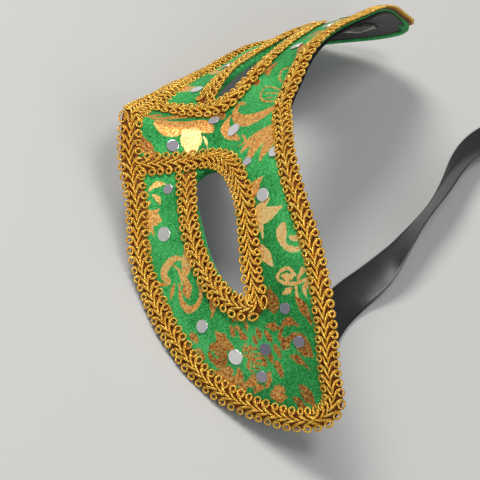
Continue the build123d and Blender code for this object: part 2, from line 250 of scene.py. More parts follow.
# Gimp braid: yarn curls along both edges, whose tails meet in the middle beside the strands of a spine
CURL_PITCH = 3.1
CURL_RADIUS = 1.18
CURL_EYE = 0.72
CURL_ENTRY = -0.65
CURL_TURN = math.radians(410)
CURL_OUT = 2.8
CURL_POINTS = 30
TAIL_SHARE = 0.35
TAIL_REACH = 3.2
TAIL_IN = 0.12
YARN_RADIUS = 0.39
YARN_END = 0.55
SPINE_REACH = 4.4
SPINE_OUT = 1.75
SPINE_POINTS = 10
DROOP_FROM = 2.2
DROOP = 0.3
BRAID_LIFT = 1.5
FIBRES = 9
FIBRE_POINTS = 8
FIBRE_RADIUS = 0.2
# The braid's ground in cross-section, all the way round, as (across, lift)
GROUND = ((-3, 0.86), (-2.6, 1.15), (-1.2, 1.3), (0, 1.4), (1.2, 1.3), (2.6, 1.15), (3, 0.86), (2.4, 0.8),
          (-2.4, 0.8))
GROUND_STEP = 0.9

# The velvet's edge, ring by ring: where it is turned in, as (lift, reach out, share of the hem inwards),
# and where it is cut off at the shell's edge, as (lift, reach out)
TURNED_IN = ((0.5, 0.28, 0), (-0.3, 0.42, 0), (-1.2, 0.25, 0), (-1.62, -0.35, 0), (-1.58, 0, 1),
             (-1.22, -0.3, 1))
CUT_EDGE = ((0.6, 0.05), (0.4, 0.08), (0.2, 0.06), (0.06, 0), (0.04, -0.15), (0.02, -0.3))
RIM_HEM = 3
HOLE_HEM = 1
# Along the rim it is turned in only at the tips: from this far to the side, and fully after the fade
HEM_FROM = 78
HEM_FADE = 4

# Filling an area: each row of points is this share of a step above the last, and they are tested in batches
ROW_RISE = 0.866
BATCH = 4000

# The camera: what it looks at in millimetres, from which way and how far, and how much it is rolled
LOOK_AT = (-0.02, 19.61, 3.57)
CAMERA_AZIMUTH = math.radians(-12.606)
CAMERA_ELEVATION = math.radians(48.855)
CAMERA_ROLL = math.radians(28.433)
CAMERA_DISTANCE = 894
FLOOR_REACH = 4

rng = np.random.default_rng(SEED)


def through(stations, x):
    """A smooth line through the stations at x, level at the first."""
    at = np.array([s[0] for s in stations], float)
    to = np.array([s[1] for s in stations], float)
    step = np.diff(at)
    rise = np.diff(to) / step
    slope = np.zeros(len(at))
    slope[1:-1] = (rise[:-1] * step[1:] + rise[1:] * step[:-1]) / (step[:-1] + step[1:])
    slope[-1] = rise[-1]
    x = np.clip(x, at[0], None)
    i = np.clip(np.searchsorted(at, x, side="right") - 1, 0, len(step) - 1)
    t = (x - at[i]) / step[i]
    beyond = t > 1
    u = np.minimum(t, 1)
    value = ((1 + 2 * u) * (1 - u) ** 2 * to[i] + u * (1 - u) ** 2 * step[i] * slope[i]
             + u * u * (3 - 2 * u) * to[i + 1] - u * u * (1 - u) * step[i] * slope[i + 1])
    return np.where(beyond, value + (t - 1) * step[i] * slope[i + 1], value)


def depth(side, height):
    """How far forward the shell's outer face is."""
    out = np.abs(side)
    down = np.maximum(0.0, (NOSE_TOP - height) / (NOSE_TOP - NOSE_BOTTOM))
    off_ridge = np.hypot(out, NOSE_ROUND) - NOSE_ROUND
    nose = NOSE_RISE * down**NOSE_POWER * np.exp(-off_ridge / (NOSE_SPREAD + NOSE_FLARE * down))
    level = height / LEAN_HEIGHT
    return through(BROW_DEPTH, out) + through(CHEEK_LEAN, out) * level - FACE_BOW * level**2 + nose


def unit(vectors):
    """The same directions, one long."""
    return vectors / np.linalg.norm(vectors, axis=-1, keepdims=True)


def run_along(line):
    """How far along a line each of its points is."""
    return np.concatenate([[0], np.cumsum(np.linalg.norm(np.diff(line, axis=0), axis=1))])


def slopes(side, height):
    """How much further forward the face is for a millimetre to the side, and for one up."""
    e = 0.05
    across = (depth(side + e, height) - depth(side - e, height)) / (2 * e)
    up = (depth(side, height + e) - depth(side, height - e)) / (2 * e)
    return across, up


def normals(side, height):
    """Unit directions straight out of the face."""
    across, up = slopes(side, height)
    return unit(np.stack([-across, -up, np.ones_like(across)], axis=-1))


def on_face(side, height, lift=0.0):
    """Points on the outer face, raised off it by lift."""
    side = np.asarray(side, float)
    height = np.asarray(height, float)
    p = np.stack([side, height, depth(side, height)], axis=-1)
    return p + normals(side, height) * np.asarray(lift, float)[..., None]


def stand(points):
    """Face points in millimetres, to the frame's metres."""
    points = np.asarray(points, float)
    side, height, forward = points[..., 0], points[..., 1], points[..., 2]
    y = math.cos(LEAN) * height - math.sin(LEAN) * forward
    z = math.sin(LEAN) * height + math.cos(LEAN) * forward
    return (np.stack([side, y, z], axis=-1) + STAND) * MM


def curve(points, step, closed=False):
    """Points about every step along a smooth line through the given ones."""
    p = np.array(points, float)
    if closed:
        p = np.vstack([p, p[:1]])
    gap = np.linalg.norm(np.diff(p, axis=0), axis=1)
    slope = np.diff(p, axis=0) / gap[:, None]
    size = len(p)
    system = np.zeros((size, size))
    right = np.zeros_like(p)
    for i in range(1, size - 1):
        system[i, i - 1:i + 2] = gap[i - 1], 2 * (gap[i - 1] + gap[i]), gap[i]
        right[i] = 6 * (slope[i] - slope[i - 1])
    system[0, 0] = 1
    if closed:
        system[0, -1] = -1
        system[-1, 0] += 2 * gap[0]
        system[-1, 1] += gap[0]
        system[-1, -1] += 2 * gap[-1]
        system[-1, -2] += gap[-1]
        right[-1] = 6 * (slope[0] - slope[-1])
    else:
        system[-1, -1] = 1
    bend = np.linalg.solve(system, right)
    fine = []
    for i in range(size - 1):
        h = gap[i]
        t = np.linspace(0, h, 40, endpoint=False)[:, None]
        a = (h - t) / h
        b = t / h
        fine.append(a * p[i] + b * p[i + 1]
                    + ((a**3 - a) * bend[i] + (b**3 - b) * bend[i + 1]) * h * h / 6)
    fine.append(p[-1:])
    return evenly(np.vstack(fine), step, closed)


def evenly(line, step, closed=False):
    """The line again, with points evenly about step apart. A closed line loses its repeated last point."""
    run = run_along(line)
    count = max(2, int(round(run[-1] / step)) + 1)
    at = np.linspace(0, run[-1], count)
    made = np.stack([np.interp(at, run, line[:, k]) for k in range(line.shape[1])], axis=1)
    return made[:-1] if closed else made


def mirrored(points):
    """The same points on the other side of the face, in the opposite order."""
    return [(-p[0], *p[1:]) for p in reversed(points)]


def outward(loop):
    """Unit directions out of a closed loop, at its points."""
    along = unit(np.roll(loop, -1, axis=0) - np.roll(loop, 1, axis=0))
    out = np.stack([along[:, 1], -along[:, 0]], axis=1)
    x, y = loop[:, 0], loop[:, 1]
    turning = np.sum(x * np.roll(y, -1) - np.roll(x, -1) * y)
    return out if turning > 0 else -out


def moved(points, directions, distance):
    """Points moved over the face by distance, measured on its slope."""
    across, up = slopes(points[:, 0], points[:, 1])
    climb = across * directions[:, 0] + up * directions[:, 1]
    return points + directions * (np.asarray(distance) / np.sqrt(1 + climb**2))[:, None]


def in_batches(points, test):
    """Which points pass a test, made on some of them at a time."""
    return np.concatenate([test(points[first:first + BATCH]) for first in range(0, len(points), BATCH)])


def inside(points, loop):
    """Which points are inside a closed loop."""
    x1, y1 = loop[:, 0], loop[:, 1]
    x2, y2 = np.roll(x1, -1), np.roll(y1, -1)

    def crossed(part):
        x, y = part[:, :1], part[:, 1:2]
        with np.errstate(divide="ignore", invalid="ignore"):
            at = x1 + (y - y1) * (x2 - x1) / (y2 - y1)
        return np.sum(((y1 > y) != (y2 > y)) & (x < at), axis=1) % 2 == 1

    return in_batches(points, crossed)


def clear_of(points, loop, gap):
    """Which points are further than gap from every point of a loop."""
    def clear(part):
        return np.min(np.sum((part[:, None] - loop[None]) ** 2, axis=2), axis=1) > gap * gap

    return in_batches(points, clear)


def filled(rim, holes, step):
    """Points and triangles inside the rim and outside the holes, with the loops' own points first."""
    low, high = rim.min(axis=0), rim.max(axis=0)
    xs = np.arange(low[0], high[0], step)
    ys = np.arange(low[1], high[1], step * ROW_RISE)
    grid = np.array([(x + (step / 2 if j % 2 else 0), y) for j, y in enumerate(ys) for x in xs])
    keep = inside(grid, rim)
    for hole in holes:
        keep &= ~inside(grid, hole)
    grid = grid[keep]
    for loop in (rim, *holes):
        grid = grid[clear_of(grid, loop, step * 0.6)]
    points = np.vstack([rim, *holes, grid])
    edges = []
    first = 0
    for loop in (rim, *holes):
        n = len(loop)
        edges += [(first + i, first + (i + 1) % n) for i in range(n)]
        first += n
    made = delaunay_2d_cdt([Vector(p) for p in points], edges, [], 0, 1e-7)
    triangles = np.array([f for f in made[2] if len(f) == 3])
    points = np.array([tuple(v) for v in made[0]])
    middles = points[triangles].mean(axis=1)
    keep = inside(middles, rim)
    for hole in holes:
        keep &= ~inside(middles, hole)
    return points, triangles[keep]


def add_object(name, data):
    """A new object in the scene."""
    obj = bpy.data.objects.new(name, data)
    bpy.context.scene.collection.objects.link(obj)
    return obj


def quads(index):
    """Faces between neighbouring rows of point numbers, where each row is a closed ring."""
    turned = np.roll(index, -1, axis=-1)
    corners = (index[..., :-1, :], index[..., 1:, :], turned[..., 1:, :], turned[..., :-1, :])
    return np.stack(corners, axis=-1).reshape(-1, 4)


def closed(index):
    """Faces round a stack of rings, and one over each end."""
    return [*quads(index).tolist(), index[0].tolist(), index[-1].tolist()]


def quads_uv(u, v, next_v):
    """Uv at the corners of such quads, from each row's u, and each column's v and that of the next one."""
    shape = (*u[..., 1:].shape, len(v))
    before = np.broadcast_to(u[..., :-1, None], shape)
    after = np.broadcast_to(u[..., 1:, None], shape)
    v = np.broadcast_to(v, shape)
    next_v = np.broadcast_to(next_v, shape)
    corners = ((before, v), (after, v), (after, next_v), (before, next_v))
    return np.stack([np.stack(corner, -1) for corner in corners], axis=-2).reshape(-1, 2)


def piece(name, vertices, faces, materials, node_name, uv=None, which=None, smooth=True):
    """A mesh piece in metres, which rides on the mask's only body and stands for a node.

    uv is given corner by corner, and which is the number of each face's material."""
    mesh = bpy.data.meshes.new(name)
    mesh.from_pydata(np.asarray(vertices).tolist(), [], [list(f) for f in faces])
    for material in materials:
        mesh.materials.append(material)
    if which is not None:
        mesh.polygons.foreach_set("material_index", np.asarray(which, np.int32))
    if uv is not None:
        layer = mesh.uv_layers.new(name="uv")
        layer.data.foreach_set("uv", np.asarray(uv, np.float32).ravel())
    if smooth:
        mesh.polygons.foreach_set("use_smooth", np.ones(len(mesh.polygons), bool))
    shape = bmesh.new()
    shape.from_mesh(mesh)
    bmesh.ops.recalc_face_normals(shape, faces=shape.faces)
    shape.to_mesh(mesh)
    shape.free()
    mesh.update()
    obj = add_object(name, mesh)
    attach(obj, "root")
    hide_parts(node_name)
    return obj


def point_values(obj, name, values):
    """Gives a piece an attribute for its material to read, with a value for each of its points."""
    attribute = obj.data.attributes.new(name, "FLOAT", "POINT")
    attribute.data.foreach_set("value", np.asarray(values, np.float32))


# ---- materials

def new_material(name, values):
    """A material with values set on its shader's own sockets: itself, its node tree and its shader."""
    material = bpy.data.materials.new(name)
    material.use_nodes = True
    nodes = material.node_tree.nodes
    nodes.clear()
    output = nodes.new("ShaderNodeOutputMaterial")
    shader = nodes.new("ShaderNodeBsdfPrincipled")
    material.node_tree.links.new(shader.outputs["BSDF"], output.inputs["Surface"])
    for socket, value in values.items():
        shader.inputs[socket].default_value = value
    return material, material.node_tree, shader


def node(tree, kind, inputs=None, **settings):
    """A node with its settings, and with each input set or linked."""
    made = tree.nodes.new(kind)
    for key, value in settings.items():
        setattr(made, key, value)
    for key, value in (inputs or {}).items():
        if isinstance(value, bpy.types.NodeSocket):
            tree.links.new(value, made.inputs[key])
        else:
            made.inputs[key].default_value = value
    return made


def maths(tree, operation, first, second=0.0):
    """An operation on two values or sockets."""
    made = node(tree, "ShaderNodeMath", {0: first, 1: second}, operation=operation)
    return made.outputs[0]


def times(tree, first, second):
    return maths(tree, "MULTIPLY", first, second)


def plus(tree, first, second):
    return maths(tree, "ADD", first, second)


def minus(tree, first, second):
    return maths(tree, "SUBTRACT", first, second)


def ramp(tree, factor, stops):
    """A colour by a factor, through stops of (position, colour)."""
    made = node(tree, "ShaderNodeValToRGB", {0: factor})
    elements = made.color_ramp.elements
    while len(elements) < len(stops):
        elements.new(0.5)
    for element, (at, colour) in zip(elements, stops):
        element.position = at
        element.color = (*colour, 1)
    return made.outputs[0]


def place(tree):
    """Where a point is on the object, in metres."""
    return node(tree, "ShaderNodeTexCoord").outputs["Object"]


def noise(tree, where, scale, detail=3.0, roughness=0.5):
    """Soft noise, with scale features to a metre."""
    made = node(tree, "ShaderNodeTexNoise", {"Vector": where, "Scale": scale, "Detail": detail,
                                             "Roughness": roughness})
    return made.outputs["Fac"]


def bump(tree, shader, height, strength, distance):
    """Raises the surface by a height, up to a distance in metres."""
    made = node(tree, "ShaderNodeBump", {"Height": height, "Strength": strength, "Distance": distance})
    tree.links.new(made.outputs[0], shader.inputs["Normal"])


def mixed(tree, factor, first, second):
    """A blend of two colours."""
    made = node(tree, "ShaderNodeMix", data_type="RGBA")
    sockets = [socket for socket in made.inputs if socket.enabled]
    for socket, value in zip(sockets, (factor, first, second)):
        tree.links.new(value, socket)
    return next(socket for socket in made.outputs if socket.enabled)


def velvet_material():
    """Emerald velvet, with worn foil where the piece's foil attribute is above zero, toned by foil_tone."""
    material, tree, shader = new_material("velvet", {
        "Sheen Tint": (0.25, 0.95, 0.45, 1), "Sheen Roughness": 0.35, "Specular IOR Level": 0.2})
    where = place(tree)
    nap = noise(tree, where, 45, 4)
    pile = noise(tree, where, 2600, 2)
    tufts = noise(tree, where, 1500, 3, 0.65)
    mottle = plus(tree, times(tree, nap, 0.45), times(tree, tufts, 0.55))
    green = ramp(tree, mottle, ((0.38, (0.006, 0.11, 0.022)), (0.5, (0.024, 0.3, 0.062)),
                                (0.61, (0.09, 0.56, 0.16))))
    edge = node(tree, "ShaderNodeAttribute", attribute_name="foil").outputs["Fac"]
    tone = node(tree, "ShaderNodeAttribute", attribute_name="foil_tone").outputs["Fac"]
    ragged = times(tree, minus(tree, noise(tree, where, 900, 3), 0.5), 0.9)
    limit = minus(tree, 0.72, times(tree, tone, 0.17))
    worn = times(tree, minus(tree, noise(tree, where, 1600, 3, 0.7), limit), -3.0)
    shown = node(tree, "ShaderNodeMapRange", {"Value": plus(tree, edge, ragged),
                                              "From Min": -0.03, "From Max": 0.12}).outputs[0]
    solid = node(tree, "ShaderNodeMapRange", {"Value": worn, "From Min": -0.1, "From Max": 0.15,
                                              "To Min": 0.25}).outputs[0]
    covered = times(tree, shown, solid)
    speckle = minus(tree, noise(tree, where, 1300, 3, 0.75), 0.5)
    shade = plus(tree, tone, times(tree, speckle, 2.6))
    gold = ramp(tree, shade, ((0.0, (1.0, 0.78, 0.34)), (0.35, (0.98, 0.52, 0.13)),
                              (0.7, (0.66, 0.23, 0.045)), (1.0, (0.24, 0.05, 0.012))))
    tree.links.new(mixed(tree, covered, green, gold), shader.inputs["Base Color"])
    tree.links.new(times(tree, covered, 0.5), shader.inputs["Metallic"])
    tree.links.new(minus(tree, 0.85, times(tree, covered, 0.45)), shader.inputs["Roughness"])
    tree.links.new(times(tree, minus(tree, 1.0, covered), 0.55), shader.inputs["Sheen Weight"])
    bump(tree, shader, plus(tree, pile, tufts), 0.6, 0.0003)
    return material


def shell_material():
    """Glossy black moulded plastic, a little uneven."""
    material, tree, shader = new_material("black_shell", {
        "Base Color": (0.006, 0.006, 0.007, 1), "Roughness": 0.42, "Specular IOR Level": 0.15})
    bump(tree, shader, noise(tree, place(tree), 130, 2), 0.35, 0.0006)
    return material


def yarn_material():
    """Bright gold metallic yarn: fine plies twisted round each strand, with painted shade in the grooves
    between the plies, a painted highlight on their crests, and random patches of tone.
    """
    material, tree, shader = new_material("gold_yarn", {"Metallic": 0.7, "Roughness": 0.27})
    uv = node(tree, "ShaderNodeUVMap", uv_map="uv").outputs[0]
    parts = node(tree, "ShaderNodeSeparateXYZ", {0: uv})
    turn = plus(tree, times(tree, parts.outputs[0], 1.35), parts.outputs[1])
    ply = maths(tree, "SINE", times(tree, turn, 4 * math.pi))
    level = plus(tree, times(tree, ply, 0.5), 0.5)
    patch = noise(tree, place(tree), 650, 3, 0.6)
    tone = plus(tree, times(tree, level, 0.45), times(tree, patch, 0.75))
    # Painted light: the colour is darker where the twist dips into a groove (painted shade) and paler on its
    # crests (painted highlight).
    colour = ramp(tree, tone, ((0.28, (0.36, 0.085, 0.002)), (0.45, (0.86, 0.31, 0.008)),
                               (0.6, (1.0, 0.54, 0.03)), (0.82, (1.0, 0.82, 0.2))))
    tree.links.new(colour, shader.inputs["Base Color"])
    bump(tree, shader, level, 0.8, 0.00015)
    return material


def painted_shade_core_material():
    """The amber ground that shows between the strands, painted dark as the shade that falls between them."""
    material, tree, shader = new_material("amber_core_painted_shade", {"Metallic": 0.3, "Roughness": 0.6})
    patch = noise(tree, place(tree), 1500, 2)
    # Painted shade: the ground's colour is kept dark to stand in for the shade between the strands.
    colour = ramp(tree, patch, ((0.35, (0.06, 0.012, 0.001)), (0.65, (0.4, 0.115, 0.006))))
    tree.links.new(colour, shader.inputs["Base Color"])
    bump(tree, shader, patch, 0.8, 0.0003)
    return material


def sequin_material():
    """A flat mirror with a painted reflection: its colour is brighter or darker by a value that each disc
    carries.
    """
    material, tree, shader = new_material("mirror_sequin", {"Metallic": 0.6, "Roughness": 0.2})
    painted_reflection_level = node(tree, "ShaderNodeAttribute", attribute_name="painted_reflection").outputs["Fac"]
    colour = ramp(tree, painted_reflection_level, ((0.1, (0.3, 0.29, 0.37)), (0.9, (0.95, 0.95, 0.93))))
    tree.links.new(colour, shader.inputs["Base Color"])
    return material


def glue_material():
    """Clear set glue with an uneven skin, over the black shell."""
    material, tree, shader = new_material("clear_glue", {
        "Base Color": (0.1, 0.09, 0.07, 1), "Roughness": 0.15, "Transmission Weight": 0.5, "IOR": 1.35})
    bump(tree, shader, noise(tree, place(tree), 350, 2), 0.3, 0.0005)
    return material


def ribbon_material():
    """Black satin: floats run along the ribbon."""
    material, tree, shader = new_material("black_satin", {
        "Base Color": (0.012, 0.012, 0.014, 1), "Roughness": 0.34, "Anisotropic": 0.6,
        "Sheen Weight": 0.25, "Sheen Roughness": 0.3, "Specular IOR Level": 0.75})
    uv = node(tree, "ShaderNodeUVMap", uv_map="uv").outputs[0]
    parts = node(tree, "ShaderNodeSeparateXYZ", {0: uv})
    thread = maths(tree, "SINE", times(tree, parts.outputs[1], 2 * math.pi * 46))
    creases = noise(tree, place(tree), 160, 3)
    height = plus(tree, times(tree, thread, 0.1), creases)
    bump(tree, shader, height, 0.35, 0.0005)
    return material


VELVET = velvet_material()
BLACK = shell_material()
YARN = yarn_material()
PAINTED_SHADE_CORE = painted_shade_core_material()
MIRROR = sequin_material()
GLUE = glue_material()
SATIN = ribbon_material()

# ---- shell and velvet

rim_points = [*RIM, *mirrored(RIM[1:-1])]


def loops(step, setback, growth):
    """The rim, drawn in by setback, and the two eye holes, widened by growth."""
    rim = curve(rim_points, step, closed=True)
    holes = [curve(points, step, closed=True) for points in (EYE_HOLE, mirrored(EYE_HOLE))]
    return moved(rim, outward(rim), -setback), [moved(hole, outward(hole), growth) for hole in holes]


def make_shell():
    """The moulded shell: an outer and an inner face joined round the rim and the eye holes."""
    rim, holes = loops(0.9, RIM_SETBACK + 0.1, HOLE_GROWTH + 0.25)
    flat, triangles = filled(rim, holes, 1.1)
    count = len(flat)
    wave = 0.05 * np.sin(flat[:, 0] * 0.9) * np.sin(flat[:, 1] * 0.8 + 1)
    outer = on_face(flat[:, 0], flat[:, 1])
    inner = on_face(flat[:, 0], flat[:, 1], -SHELL_THICKNESS + wave)
    faces = [*triangles.tolist(), *(triangles[:, ::-1] + count).tolist()]
    first = 0
    for loop in (rim, *holes):
        edge = first + np.arange(len(loop))
        faces += quads(np.stack([edge, edge + count])).tolist()
        first += len(loop)
    piece("moulded_shell", stand(np.vstack([outer, inner])), faces, [BLACK], "shell")


def foil_field(flat):
    """How far inside the foil print each point is, in millimetres, and the tone of the nearest print."""
    level = np.full(len(flat), NOT_PRINTED)
    tone = np.full(len(flat), NO_TONE)
    groups = [*FOIL.values(), *FOIL_BOTH_SIDES.values()]
    prints = [(shade, stroke) for shade, strokes in groups for stroke in strokes]
    prints += [(shade, mirrored(stroke)) for shade, strokes in FOIL_BOTH_SIDES.values() for stroke in strokes]
    for shade, stroke in prints:
        line = curve([p[:2] for p in stroke], 0.5)
        run = run_along(line)
        stops = [run[np.argmin(np.sum((line - np.array(p[:2])) ** 2, axis=1))] for p in stroke]
        width = np.interp(run, stops, [p[2] for p in stroke])
        low, high = line.min(axis=0) + NOT_PRINTED, line.max(axis=0) - NOT_PRINTED
        near = np.flatnonzero(np.all((flat > low) & (flat < high), axis=1))
        some = flat[near]
        best = np.full(len(some), NOT_PRINTED)
        for i in range(len(line) - 1):
            a, b = line[i], line[i + 1]
            along = np.clip(((some - a) @ (b - a)) / max(1e-9, (b - a) @ (b - a)), 0, 1)
            gap = np.linalg.norm(some - a - along[:, None] * (b - a), axis=1)
            best = np.maximum(best, width[i] * (1 - along) + width[i + 1] * along - gap)
        better = best > level[near]
        level[near[better]] = best[better]
        tone[near[better]] = shade
    return level, tone


def edge_rings(loop, out, hem, tucked):
    """Rings of points that end the velvet at a loop: turned in where tucked is 1, cut off where it is 0."""
    hem = hem + 0.15 * np.sin(np.arange(len(loop)) * 0.31)
    rings = []
    for (lift, reach, inward), (cut_lift, cut_reach) in zip(TURNED_IN, CUT_EDGE):
        at = moved(loop, out, cut_reach + (reach - inward * hem - cut_reach) * tucked)
        rings.append(on_face(at[:, 0], at[:, 1], cut_lift + (lift - cut_lift) * tucked))
    return rings


def make_velvet():
    """The velvet over the shell with its foil print, turned in at the temple tips and round the eye holes."""
    rim, holes = loops(0.45, RIM_SETBACK, HOLE_GROWTH)
    flat, triangles = filled(rim, holes, 0.5)
    at_tips = np.clip((np.abs(rim[:, 0]) - HEM_FROM) / HEM_FADE, 0, 1)
    edges = [edge_rings(rim, outward(rim), RIM_HEM, at_tips)]
    edges += [edge_rings(hole, -outward(hole), HOLE_HEM, 1) for hole in holes]
    vertices = [on_face(flat[:, 0], flat[:, 1], VELVET_LIFT)]
    faces = triangles.tolist()
    first = 0
    count = len(flat)
    for rings in edges:
        size = len(rings[0])
        added = count + np.arange(len(rings) * size).reshape(-1, size)
        index = np.vstack([first + np.arange(size), added])
        vertices += rings
        faces += quads(index).tolist()
        first += size
        count += len(rings) * size
    level, tone = foil_field(flat)
    beyond = count - len(flat)
    skin = piece("velvet_skin", stand(np.vstack(vertices)), faces, [VELVET], "velvet_cover")
    point_values(skin, "foil", np.append(level, np.full(beyond, NOT_PRINTED)))
    point_values(skin, "foil_tone", np.append(tone, np.full(beyond, NO_TONE)))


# ---- braid

class Strip:
    """A line over the face that a braid follows. at() turns (along, across, lift) into face points."""

    def __init__(self, flat):
        run = run_along(on_face(flat[:, 0], flat[:, 1]))
        self.length = run[-1]
        self.run = np.linspace(0, run[-1], max(20, int(run[-1] / 0.5)))
        self.line = np.stack([np.interp(self.run, run, flat[:, k]) for k in range(2)], axis=1)
        self.along = unit(np.gradient(on_face(self.line[:, 0], self.line[:, 1]), self.run, axis=0))
        self.across = unit(np.cross(normals(self.line[:, 0], self.line[:, 1]), self.along))

    def pick(self, table, along):
        """A table's side and height, between its rows."""
        return np.stack([np.interp(along, self.run, table[:, k]) for k in range(2)], axis=-1)

    def at(self, along, across, lift):
        on_strip = np.clip(along, 0, self.length)
        beyond = along - on_strip
        flat = self.pick(self.line, on_strip) + self.pick(self.across, on_strip) * across[..., None]
        flat = flat + self.pick(self.along, on_strip) * beyond[..., None]
        return on_face(flat[..., 0], flat[..., 1], lift)


def tubes(strands, radius, sides):
    """Yarn round strands of face points, shaped (strand, point, 3): points, sides, their uv, ends."""
    count, length, _ = strands.shape
    along = unit(np.gradient(strands, axis=1))
    aside = unit(np.cross(along, normals(strands[..., 0], strands[..., 1])))
    up = np.cross(aside, along)
    angle = np.linspace(0, 2 * math.pi, sides, endpoint=False)
    taper = np.ones(length)
    taper[0] = taper[-1] = YARN_END
    ring = np.cos(angle)[:, None] * up[:, :, None] + np.sin(angle)[:, None] * aside[:, :, None]
    size = np.broadcast_to(np.asarray(radius, float), (count,))[:, None] * taper
    vertices = strands[:, :, None] + ring * size[:, :, None, None]
    index = np.arange(count * length * sides).reshape(count, length, sides)
    step = np.linalg.norm(np.diff(strands, axis=1), axis=2)
    run = np.concatenate([np.zeros((count, 1)), np.cumsum(step, axis=1)], axis=1)
    v = np.arange(sides) / sides
    ends = np.concatenate([index[:, 0, ::-1], index[:, -1]])
    return vertices.reshape(-1, 3), quads(index), quads_uv(run, v, v + 1 / sides), ends


def curls(strip, way, drooping):
    """The curls along the edge on one side, way, with their tails, and the strands of the spine beside them.

    Drooping curls hang down over the edge of the mask."""
    count = int(strip.length / CURL_PITCH)
    pitch = strip.length / count
    middle = (np.arange(count) + 0.5) * pitch + 0.25 * way * pitch + rng.normal(0, 0.1, count)
    middle = middle[:, None]
    big = CURL_RADIUS * (1 + rng.normal(0, 0.06, count))[:, None]
    share = np.linspace(0, 1, CURL_POINTS)
    in_tail = share < TAIL_SHARE
    tail = np.clip(share / TAIL_SHARE, 0, 1)
    spin = np.clip((share - TAIL_SHARE) / (1 - TAIL_SHARE), 0, 1)
    radius = big + (CURL_EYE - big) * spin**1.2
    angle = CURL_ENTRY + CURL_TURN * spin + rng.normal(0, 0.08, count)[:, None] * spin
    entry = CURL_OUT + big * math.sin(CURL_ENTRY)
    along = np.where(in_tail, middle + big * math.cos(CURL_ENTRY) - (1 - tail) ** 0.9 * TAIL_REACH,
                     middle + radius * np.cos(angle))
    across = np.where(in_tail, entry - (1 - tail**1.35) * (entry - TAIL_IN),
                      CURL_OUT + radius * np.sin(angle))
    lift = BRAID_LIFT + 0.25 * np.sin(math.pi * tail) - 0.1 * ~in_tail + 0.3 * spin
    lift = lift + rng.normal(0, 0.07, count)[:, None]
    if drooping:
        lift = lift - DROOP * np.clip(across - DROOP_FROM, 0, None) ** 2
    thickness = YARN_RADIUS * (1 + rng.normal(0, 0.06, count))
    curled = tubes(strip.at(along, way * across, lift), thickness, 7)
    share = np.linspace(0, 1, SPINE_POINTS)
    along = np.clip(middle + CURL_RADIUS * 0.8 - SPINE_REACH + SPINE_REACH * share, -0.3, strip.length + 0.3)
    across = SPINE_OUT * share**1.2 - 0.1 + rng.normal(0, 0.05, count)[:, None]
    lift = BRAID_LIFT + 0.1 + 0.42 * np.sin(math.pi * share**0.8) + rng.normal(0, 0.05, count)[:, None]
    return curled, tubes(strip.at(along, way * across, lift), YARN_RADIUS * 1.1, 6)


def frayed(strip, end):
    """Loose fibres where a strip starts, 0, or ends, 1."""
    share = np.linspace(0, 1, FIBRE_POINTS)
    reach = rng.uniform(0.8, 2.4, FIBRES)[:, None]
    along = end * strip.length + (2 * end - 1) * (reach * share - 0.8)
    across = rng.uniform(-2.6, 2.6, FIBRES)[:, None] + rng.normal(0, 0.7, FIBRES)[:, None] * share**2
    lift = BRAID_LIFT + rng.uniform(-0.2, 0.3, FIBRES)[:, None] * share
    return tubes(strip.at(along, across, lift), FIBRE_RADIUS, 5)


def make_braid(name, flat, node_name, drooping_side=0, ends=()):
    """One length of gimp braid: curls along both edges, the spine between them, and the ground under them.

    drooping_side is the side, 1 or -1, whose curls droop over an edge. ends, 0 and 1, are those that fray."""
    strip = Strip(flat)
    parts = [tube for way in (1, -1) for tube in curls(strip, way, way == drooping_side)]
    parts += [frayed(strip, end) for end in ends]
    vertices, faces, caps, uv = [], [], [], []
    base = 0
    for spots, sides, sides_uv, tube_ends in parts:
        vertices.append(spots)
        faces += (sides + base).tolist()
        caps += (tube_ends + base).tolist()
        uv.append(sides_uv)
        base += len(spots)
    faces += caps
    yarn_faces = len(faces)
    rows = np.linspace(0, strip.length, int(strip.length / GROUND_STEP))
    ground_across, ground_lift = np.transpose(GROUND)
    along, across = np.meshgrid(rows, ground_across, indexing="ij")
    index = base + np.arange(along.size).reshape(along.shape)
    vertices.append(strip.at(along, across, np.broadcast_to(ground_lift, along.shape)).reshape(-1, 3))
    faces += closed(index)
    uv = np.vstack(uv)
    corners = sum(len(face) for face in faces)
    uv = np.vstack([uv, np.zeros((corners - len(uv), 2))])
    piece(name, stand(np.vstack(vertices)), faces, [YARN, PAINTED_SHADE_CORE], node_name, uv=uv,
          which=np.arange(len(faces)) >= yarn_faces)


def rim_line(upper, overhang):
    """The middle of the braid along the upper or the lower rim, from the left tip to the right one."""
    rim = curve(rim_points, 0.5, closed=True)
    line = moved(rim, outward(rim), overhang - BRAID_WIDTH / 2)
    left, right = [np.argmin(np.sum((rim - tip) ** 2, axis=1)) for tip in (TIP, (-TIP[0], TIP[1]))]
    line = np.roll(line, -left, axis=0)
    lower = (right - left) % len(rim)
    along = np.vstack([line[lower:], line[:1]])[::-1] if upper else line[:lower + 1]
    return evenly(along, 0.5)


# ---- sequins, glue and tie

